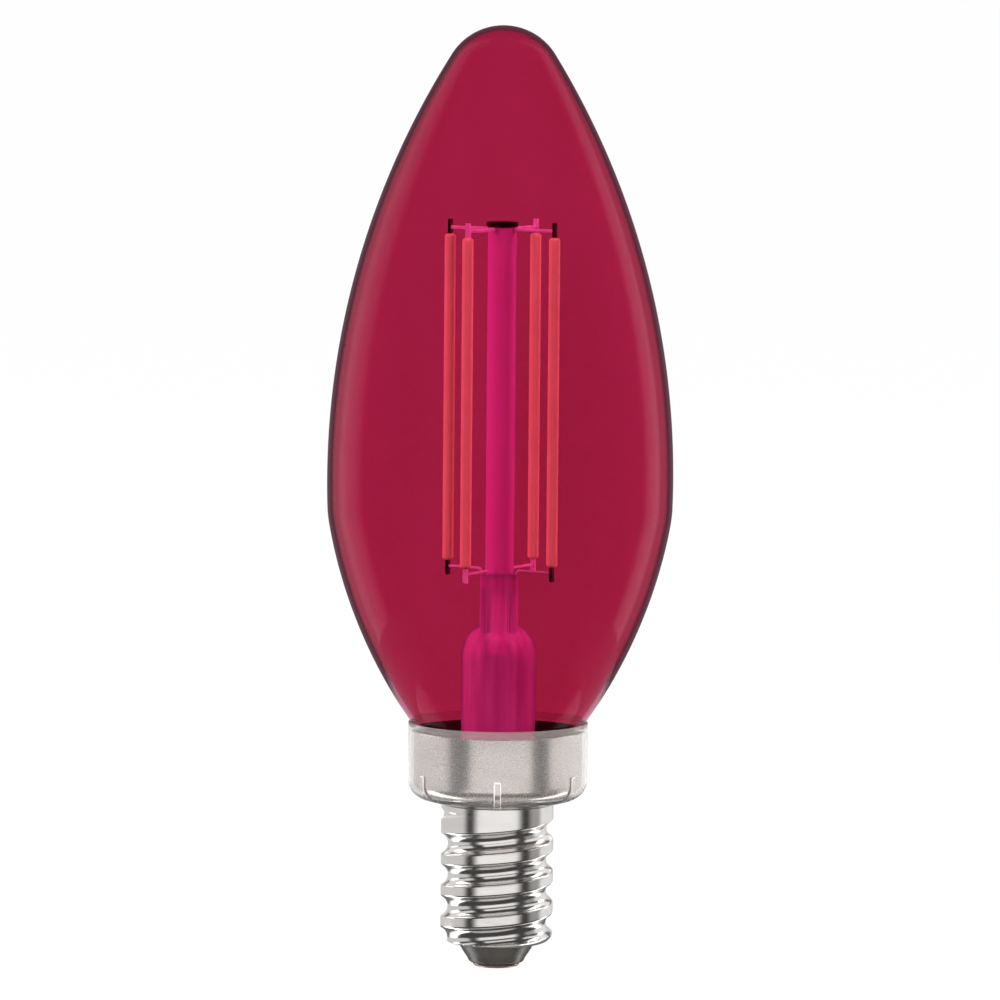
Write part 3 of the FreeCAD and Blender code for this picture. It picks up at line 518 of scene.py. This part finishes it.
contact_profile = [(0, 0), (0.5, 0), (0.6, 0.04), (0.8, 0.05), (1.0, 0.01), (2.1, 0), (2.3, 0.06), (2.4, 0.2),
                   (2.4, 0.33), (2.3, 0.35), (0.6, 0.35), (0.59, 3.9), (0, 3.9)]
contact = turn("centre_contact_rivet", contact_profile, segments=96)
contact_metal = finish("contact brass", (0.32, 0.245, 0.21), (0.26, 0.20, 0.17), 0.2, 0.4, 1.2, 0.25,
                       bump=0.2, depth=0.02, metal=1.0)
finish_piece(contact, contact_metal, "contact_metal", "centre_contact")

# The driver hidden inside the shell: a small board with a bridge rectifier and a chip on
# one side, a capacitor and a fusible resistor on the other, and the two wires to the cap.

board = finish("board laminate", (0.05, 0.19, 0.08), (0.04, 0.15, 0.065), 0.35, 0.55, 3, 0.3,
               bump=0.2, depth=0.02)
package = finish("moulded package", (0.03, 0.03, 0.032), (0.045, 0.044, 0.045), 0.4, 0.6, 1.5, 0.15,
                 bump=0.3, depth=0.02)
resistor = finish("resistor lacquer", (0.16, 0.33, 0.30), (0.13, 0.27, 0.25), 0.3, 0.5, 1.5, 0.3,
                  bump=0.2, depth=0.02)
nodes["driver_board"].data.materials[0] = board
for name in ("bridge_rectifier", "driver_chip", "filter_capacitor"):
    nodes[name].data.materials[0] = package
nodes["fusible_resistor"].data.materials[0] = resistor
for name in ("shell_lead", "contact_lead"):
    nodes[name].data.materials[0] = dark_metal

# The studio: a pale floor that shows plain white, a soft light on either side and one
# above, and three round tents, painted with soft panels of light, that only mirrors and
# glass show: a wide one for the glass, and two near ones for the shell and the collar.


def white_to_lens(material, shown_share, leeway=0.5):
    """Let a stage surface look plain white to the lens, also straight through glass. The world counts one
    step more than a surface does, so it is given more leeway."""
    tree = material.node_tree
    add, link = tree.nodes.new, tree.links.new
    path = add("ShaderNodeLightPath")
    seen = add("ShaderNodeMath")
    seen.operation = "COMPARE"
    seen.inputs[2].default_value = leeway
    link(path.outputs["Ray Depth"], seen.inputs[0])
    link(path.outputs["Transmission Depth"], seen.inputs[1])
    share = add("ShaderNodeMath")
    share.operation = "MULTIPLY"
    share.inputs[1].default_value = shown_share
    link(seen.outputs["Value"], share.inputs[0])
    return add, link, share.outputs["Value"]


deselect()
bpy.ops.mesh.primitive_plane_add(size=80)
floor = bpy.context.object
floor.name = "floor"
floor.visible_glossy = floor.visible_transmission = False
pale = bpy.data.materials.new("pale floor")
pale.use_nodes = True
add, link, shown = white_to_lens(pale, 0.98)
white = add("ShaderNodeEmission")
white.inputs["Color"].default_value = (1, 1, 1, 1)
mixed = add("ShaderNodeMixShader")
plain = pale.node_tree.nodes["Principled BSDF"]
plain.inputs["Base Color"].default_value = (0.95, 0.95, 0.95, 1)
plain.inputs["Roughness"].default_value = 0.8
link(shown, mixed.inputs["Fac"])
link(plain.outputs["BSDF"], mixed.inputs[1])
link(white.outputs["Emission"], mixed.inputs[2])
link(mixed.outputs["Shader"], pale.node_tree.nodes["Material Output"].inputs["Surface"])
floor.data.materials.append(pale)

world = bpy.data.worlds.new("studio")
bpy.context.scene.world = world
world.use_nodes = True
add, link, shown = white_to_lens(world, 1.0, 1.5)
sky = world.node_tree.nodes["Background"]
sky.inputs["Color"].default_value = (1, 1, 1, 1)
sky.inputs["Strength"].default_value = 0.55
bright = add("ShaderNodeBackground")
bright.inputs["Color"].default_value = (1, 1, 1, 1)
bright.inputs["Strength"].default_value = 1.0
mixed = add("ShaderNodeMixShader")
link(shown, mixed.inputs["Fac"])
link(sky.outputs["Background"], mixed.inputs[1])
link(bright.outputs["Background"], mixed.inputs[2])
link(mixed.outputs["Shader"], world.node_tree.nodes["World Output"].inputs["Surface"])


def aim(thing, spot):
    """Turn a lamp or the camera towards a spot."""
    thing.rotation_mode = "QUATERNION"
    thing.rotation_quaternion = (Vector(spot) - thing.location).to_track_quat("-Z", "Y")


def soft_light(name, place, width, height, power):
    """A rectangular lamp that points at the bulb and that mirrors and glass don't show."""
    bpy.ops.object.light_add(type="AREA", location=place)
    lamp = bpy.context.object
    lamp.name = name
    lamp.data.shape = "RECTANGLE"
    lamp.data.size = width
    lamp.data.size_y = height
    lamp.data.energy = power
    lamp.visible_glossy = lamp.visible_transmission = False
    aim(lamp, (0, 0, 0.05))


soft_light("left softbox", (-0.42, -0.22, 0.12), 0.16, 0.6, 6.4)
soft_light("right softbox", (0.42, -0.12, 0.12), 0.16, 0.6, 5.5)
soft_light("top softbox", (0.0, -0.15, 0.55), 0.4, 0.4, 5.4)


def soft_step(value, low, high, soft):
    """1 between low and high, fading to 0 over a soft edge on both sides."""
    rise = min(max((value - low) / soft + 0.5, 0), 1)
    fall = min(max((high - value) / soft + 0.5, 0), 1)
    return rise * rise * (3 - 2 * rise) * fall * fall * (3 - 2 * fall)


def soft_tent(name, radius, foot, top, plain_glow, panels):
    """A glowing cloth round the bulb that only mirrors and glass show. Each panel on it is its compass from
    and to, 0 at the lens and positive to its right, its soft edge in degrees, and how bright it is."""
    deselect()
    bpy.ops.mesh.primitive_cylinder_add(vertices=180, radius=radius, depth=top - foot,
                                        end_fill_type="NOTHING", location=(0, 0, (top + foot) / 2))
    tent = bpy.context.object
    tent.name = name
    bpy.ops.object.transform_apply(location=True)
    glow = tent.data.attributes.new("glow", "FLOAT", "POINT")
    for vertex, held in zip(tent.data.vertices, glow.data):
        compass = math.degrees(math.atan2(vertex.co.x, -vertex.co.y))
        held.value = plain_glow
        for first, last, soft, brightness in panels:
            held.value += brightness * max(soft_step(compass, first, last, soft),
                                           soft_step(compass + 360, first, last, soft))
    tent.visible_camera = tent.visible_diffuse = tent.visible_shadow = False
    tent.data.materials.append(tent_cloth)


tent_cloth = bpy.data.materials.new("tent cloth")
tent_cloth.use_nodes = True
add, link, straight = white_to_lens(tent_cloth, 1.0)
painted = add("ShaderNodeAttribute")
painted.attribute_name = "glow"
lit = add("ShaderNodeEmission")
gone = add("ShaderNodeBsdfTransparent")
mixed = add("ShaderNodeMixShader")
link(painted.outputs["Fac"], lit.inputs["Strength"])
link(straight, mixed.inputs["Fac"])
link(lit.outputs["Emission"], mixed.inputs[1])
link(gone.outputs["BSDF"], mixed.inputs[2])
link(mixed.outputs["Shader"], tent_cloth.node_tree.nodes["Material Output"].inputs["Surface"])
soft_tent("glass tent", 0.4, -0.8, 1.2, 0.06, [
    (-132, -106, 10, 2.7), (-146, -131, 10, 0.8),
    (112, 130, 8, 2.9), (128, 144, 10, 0.6), (152, 208, 8, 0.12),
])
soft_tent("shell tent", 0.045, -0.004, 0.0155, 0.05, [
    (-42, 44, 18, 0.9), (67, 95, 14, 0.3), (94, 146, 12, 0.8), (146, 210, 10, 0.6), (210, 296, 16, 0.62),
])
soft_tent("collar tent", 0.024, 0.0155, 0.0235, 0.04, [
    (-31, 39, 8, 0.88), (61, 150, 10, 0.84), (148, 212, 10, 0.95), (210, 303, 10, 0.74),
])

# The camera: a long lens about 0.7 metres away, a little above the bulb and looking down
# five degrees, rolled half a degree because the bulb leans that much in the picture.

view_distance, downward, roll = 0.70, math.radians(5.3), math.radians(0.49)
frame_width, film_width = 0.1032, 36
middle = Vector((0, 0, 0.0485))
bpy.ops.object.camera_add()
camera = bpy.context.object
camera.location = middle + view_distance * Vector((0, -math.cos(downward), math.sin(downward)))
aim(camera, middle)
camera.rotation_quaternion = camera.rotation_quaternion @ Quaternion((0, 0, 1), roll)
camera.data.lens = film_width * view_distance / frame_width
bpy.context.scene.camera = camera
bpy.context.scene.view_settings.view_transform = "Standard"
